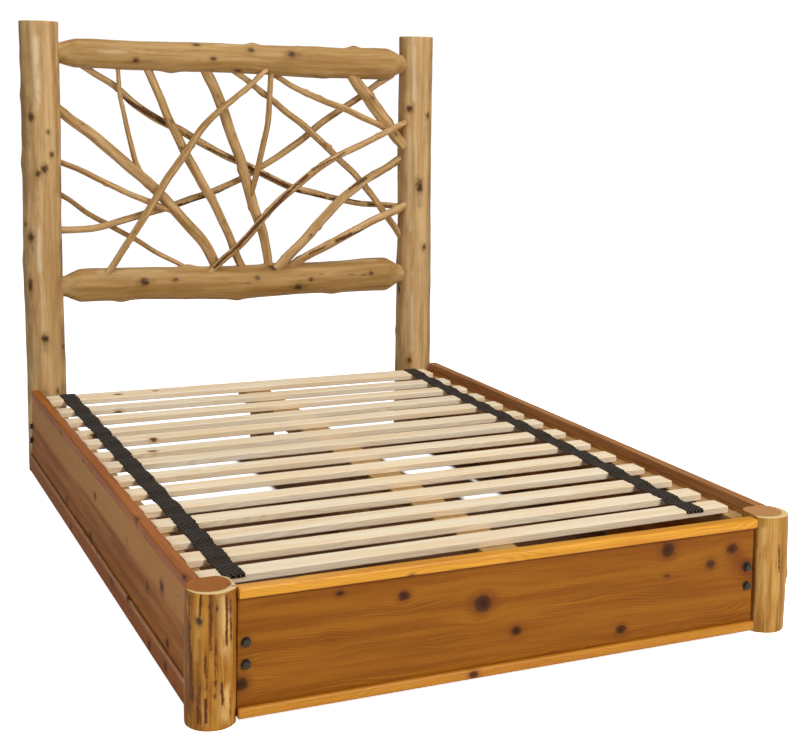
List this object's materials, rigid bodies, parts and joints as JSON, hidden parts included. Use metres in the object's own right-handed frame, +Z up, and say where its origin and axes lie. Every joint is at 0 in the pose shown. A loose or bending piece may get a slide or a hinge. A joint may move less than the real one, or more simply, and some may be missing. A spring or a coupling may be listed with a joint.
{
  "type": "rustic log bed",
  "caption": "Low log bed with a tall headboard of crossing twigs, boarded rails and loose slats on woven straps.",
  "frame": {"origin": "on the floor, under the middle of the bed's bounding box", "axes": "+Z up, +Y from the foot of the bed towards the headboard, +X to the right seen from the foot"},
  "size_m": [1.4827, 2.0827, 1.46],
  "materials": {
    "peeled_log": "peeled pine log, clear satin",
    "twig_wood": "peeled branches, satin",
    "stained_board": "knotty boards, warm brown stain",
    "honey_trim": "smooth honey-coloured pine, satin",
    "slat_wood": "raw planed pine",
    "webbing": "black woven webbing",
    "black_bolt": "black hex bolts"
  },
  "bodies": {
    "bed_frame": {"head_post_left": "peeled_log", "head_post_right": "peeled_log", "foot_post_left": "peeled_log", "foot_post_right": "peeled_log", "headboard_upper_rail": "peeled_log", "headboard_lower_rail": "peeled_log", "twig_01": "twig_wood", "twig_02": "twig_wood", "twig_03": "twig_wood", "twig_04": "twig_wood", "twig_05": "twig_wood", "twig_06": "twig_wood", "twig_07": "twig_wood", "twig_08": "twig_wood", "twig_09": "twig_wood", "twig_10": "twig_wood", "twig_11": "twig_wood", "twig_12": "twig_wood", "twig_13": "twig_wood", "twig_14": "twig_wood", "twig_15": "twig_wood", "twig_16": "twig_wood", "foot_rail_board": "stained_board", "side_rail_left_board": "stained_board", "side_rail_left_cap": "stained_board", "side_rail_right_board": "stained_board", "side_rail_right_cap": "stained_board", "side_rail_left_bottom_trim": "stained_board", "side_rail_right_bottom_trim": "stained_board", "foot_rail_cap": "honey_trim", "foot_rail_bottom_trim": "honey_trim", "side_rail_left_ledge": "slat_wood", "side_rail_right_ledge": "slat_wood", "centre_beam": "slat_wood", "beam_legs": "slat_wood", "foot_corner_block_left": "slat_wood", "foot_corner_block_right": "slat_wood", "side_corner_block_left": "slat_wood", "side_corner_block_right": "slat_wood", "foot_rail_bolts": "black_bolt", "side_rail_bolts": "black_bolt"},
    "slat_roll": {"slat_01": "slat_wood", "slat_02": "slat_wood", "slat_03": "slat_wood", "slat_04": "slat_wood", "slat_05": "slat_wood", "slat_06": "slat_wood", "slat_07": "slat_wood", "slat_08": "slat_wood", "slat_09": "slat_wood", "slat_10": "slat_wood", "slat_11": "slat_wood", "slat_12": "slat_wood", "slat_13": "slat_wood", "slat_14": "slat_wood", "strap_left": "webbing", "strap_right": "webbing"}
  },
  "joints": [
    {"name": "slat_roll_lift", "type": "slide", "parent": "bed_frame", "child": "slat_roll", "axis": [0, 0, 1], "range_m": [0, 0.3]}
  ]
}
